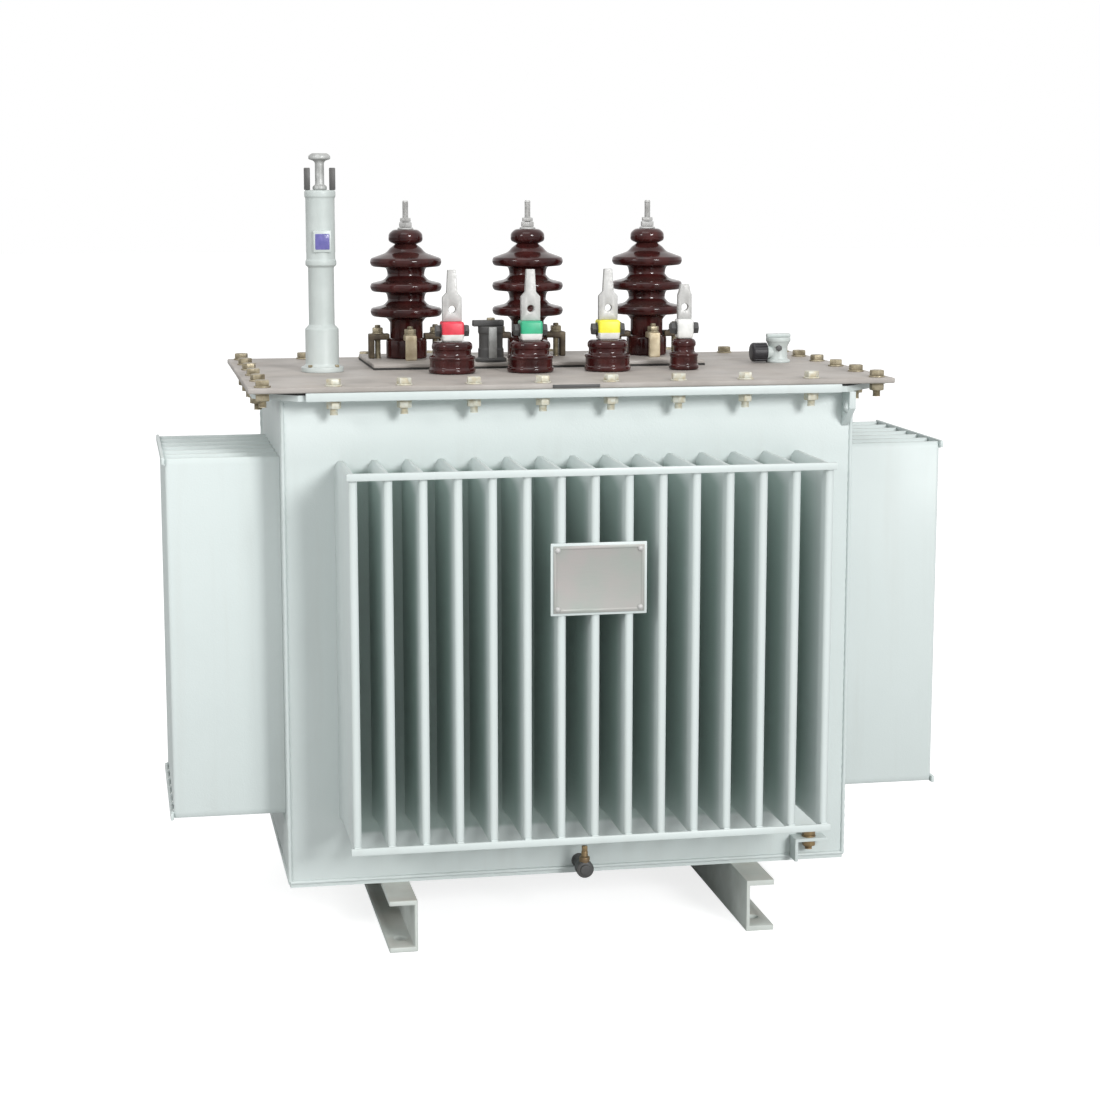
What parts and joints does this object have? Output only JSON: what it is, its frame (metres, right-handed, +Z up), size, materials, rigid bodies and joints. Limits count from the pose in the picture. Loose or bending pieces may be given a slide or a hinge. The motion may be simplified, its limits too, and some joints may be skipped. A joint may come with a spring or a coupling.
{
  "type": "oil-filled power transformer",
  "caption": "Oil-filled distribution transformer: corrugated tank on base channels, bolted lid, brown porcelain bushings, filler pipe and valves.",
  "frame": {"origin": "on the ground, at the centre of the four fixing holes in the base channels", "axes": "+X along the length of the tank, +Y towards the high-voltage row, +Z up"},
  "size_m": [1.22, 0.8, 1.179],
  "materials": {
    "tank_paint": "pale grey-green enamel on sheet steel",
    "lid_paint": "warm grey enamel",
    "base_paint": "grey enamel on rolled channel",
    "gasket_rubber": "matt oil-resistant rubber",
    "brown_glaze": "glossy dark brown glaze",
    "yellow_zinc": "yellow passivated zinc plate",
    "tinned_metal": "dull tin plate",
    "phase_red": "moulded insulation",
    "phase_green": "moulded insulation",
    "phase_yellow": "moulded insulation",
    "neutral_white": "moulded insulation",
    "pipe_paint": "pale enamel",
    "dark_fitting": "dark enamel and cast metal",
    "plate_metal": "satin aluminium sheet",
    "bracket_paint": "pale enamel"
  },
  "bodies": {
    "root": {"front_wall": "tank_paint", "back_wall": "tank_paint", "left_wall": "tank_paint", "right_wall": "tank_paint", "front_fins": "tank_paint", "back_fins": "tank_paint", "left_fins": "tank_paint", "right_fins": "tank_paint", "fin_bars": "tank_paint", "rim_bars": "tank_paint", "tank_flange": "tank_paint", "lifting_lugs": "tank_paint", "tank_floor": "tank_paint", "earth_terminal": "tank_paint", "lid": "lid_paint", "hv_plate": "lid_paint", "base_channel_left": "base_paint", "base_channel_right": "base_paint", "lid_gasket": "gasket_rubber", "hv_gasket": "gasket_rubber", "hv_bushing_a": "brown_glaze", "hv_bushing_b": "brown_glaze", "hv_bushing_c": "brown_glaze", "lv_bushing_a": "brown_glaze", "lv_bushing_b": "brown_glaze", "lv_bushing_c": "brown_glaze", "lv_bushing_n": "brown_glaze", "hv_claws_a": "yellow_zinc", "hv_claws_b": "yellow_zinc", "hv_claws_c": "yellow_zinc", "hv_terminals": "tinned_metal", "lv_terminals": "tinned_metal", "lv_block_a": "phase_red", "lv_block_b": "phase_green", "lv_block_c": "phase_yellow", "lv_block_n": "neutral_white", "filler_pipe": "pipe_paint", "filler_cap": "pipe_paint", "relief_valve": "pipe_paint", "filler_posts": "dark_fitting", "tap_changer": "dark_fitting", "relief_cap": "dark_fitting", "drain_valve": "dark_fitting", "nameplate": "plate_metal", "nameplate_bracket": "bracket_paint"}
  },
  "joints": []
}
